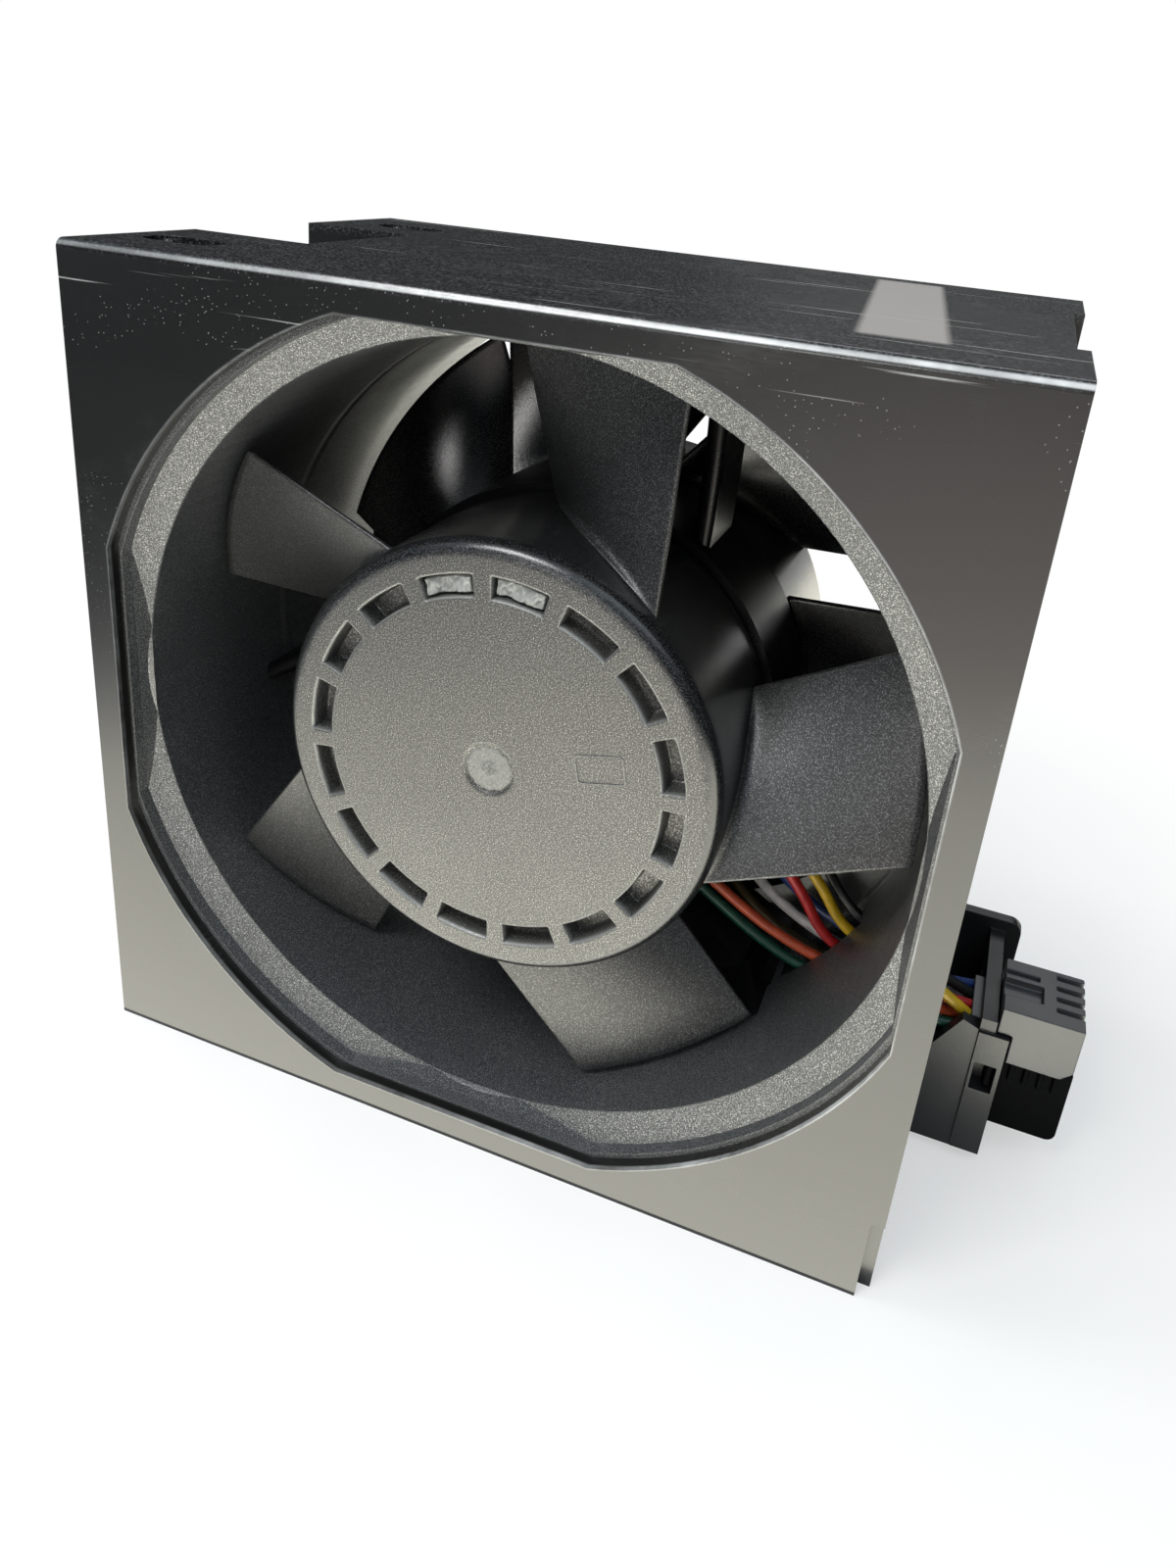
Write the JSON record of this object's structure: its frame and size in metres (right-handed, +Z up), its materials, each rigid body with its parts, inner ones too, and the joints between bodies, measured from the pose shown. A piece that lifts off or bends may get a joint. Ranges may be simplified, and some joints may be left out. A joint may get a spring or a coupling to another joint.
{
  "type": "server fan module",
  "caption": "Square moulded carrier with counter-rotating axial fans in series, a flatted bell-mouth inlet, twisted blades, coloured leads and a side plug connector.",
  "frame": {"origin": "centre of the carrier's underside", "axes": "+X to the right seen from the inlet, towards the connector; +Y along the air flow, from inlet to outlet; +Z up"},
  "size_m": [0.1485, 0.084, 0.126],
  "materials": {
    "carrier_plastic": "gloss black",
    "frame_plastic": "satin black, glass filled",
    "impeller_plastic": "satin black, glass filled",
    "bracket_plastic": "satin black",
    "housing_plastic": "satin dark grey",
    "guide_plastic": "black",
    "contact_metal": "tinned",
    "screw_steel": "zinc plated",
    "bearing_steel": "ground",
    "spring_steel": "plain",
    "tube_brass": "turned",
    "lamination_steel": "stacked sheet",
    "insulator_plastic": "natural",
    "coil_copper": "enamelled copper",
    "board_laminate": "solder resist",
    "component_plastic": "moulded",
    "yoke_steel": "plated",
    "magnet_ferrite": "sintered",
    "putty": "dried putty",
    "lead_green": "satin insulation",
    "lead_orange": "satin insulation",
    "lead_red": "satin insulation",
    "lead_yellow": "satin insulation",
    "lead_brown": "satin insulation",
    "lead_white": "satin insulation",
    "lead_blue": "satin insulation",
    "lead_black": "satin insulation"
  },
  "bodies": {
    "module": {"carrier": "carrier_plastic", "joining_screws": "screw_steel", "joining_nuts": "screw_steel", "connector_bracket": "bracket_plastic", "bracket_screws": "screw_steel", "connector_housing": "housing_plastic", "connector_contacts": "contact_metal", "connector_guide": "guide_plastic", "front_fan_frame": "frame_plastic", "front_motor_support": "frame_plastic", "front_bearing_tube": "tube_brass", "front_bearing_outer_rings": "bearing_steel", "front_bearing_balls": "bearing_steel", "front_stator_core": "lamination_steel", "front_stator_insulators": "insulator_plastic", "front_stator_coils": "coil_copper", "front_driver_board": "board_laminate", "front_board_components": "component_plastic", "rear_fan_frame": "frame_plastic", "rear_motor_support": "frame_plastic", "rear_bearing_tube": "tube_brass", "rear_bearing_outer_rings": "bearing_steel", "rear_bearing_balls": "bearing_steel", "rear_stator_core": "lamination_steel", "rear_stator_insulators": "insulator_plastic", "rear_stator_coils": "coil_copper", "rear_driver_board": "board_laminate", "rear_board_components": "component_plastic", "lead_green": "lead_green", "lead_orange": "lead_orange", "lead_red": "lead_red", "lead_yellow": "lead_yellow", "lead_brown": "lead_brown", "lead_white": "lead_white", "lead_blue": "lead_blue", "lead_black": "lead_black"},
    "front_rotor": {"front_impeller": "impeller_plastic", "front_rotor_yoke": "yoke_steel", "front_ring_magnet": "magnet_ferrite", "front_shaft": "bearing_steel", "front_bearing_inner_rings": "bearing_steel", "front_retaining_clip": "spring_steel", "front_preload_spring": "spring_steel", "balance_putty": "putty"},
    "rear_rotor": {"rear_impeller": "impeller_plastic", "rear_rotor_yoke": "yoke_steel", "rear_ring_magnet": "magnet_ferrite", "rear_shaft": "bearing_steel", "rear_bearing_inner_rings": "bearing_steel", "rear_retaining_clip": "spring_steel", "rear_preload_spring": "spring_steel"}
  },
  "joints": [
    {"name": "front_spin", "type": "hinge", "parent": "module", "child": "front_rotor", "pos_m": [0, -0.025, 0.063], "axis": [0, 1, 0], "continuous": true},
    {"name": "rear_spin", "type": "hinge", "parent": "module", "child": "rear_rotor", "pos_m": [0, 0.02, 0.063], "axis": [0, 1, 0], "continuous": true}
  ]
}
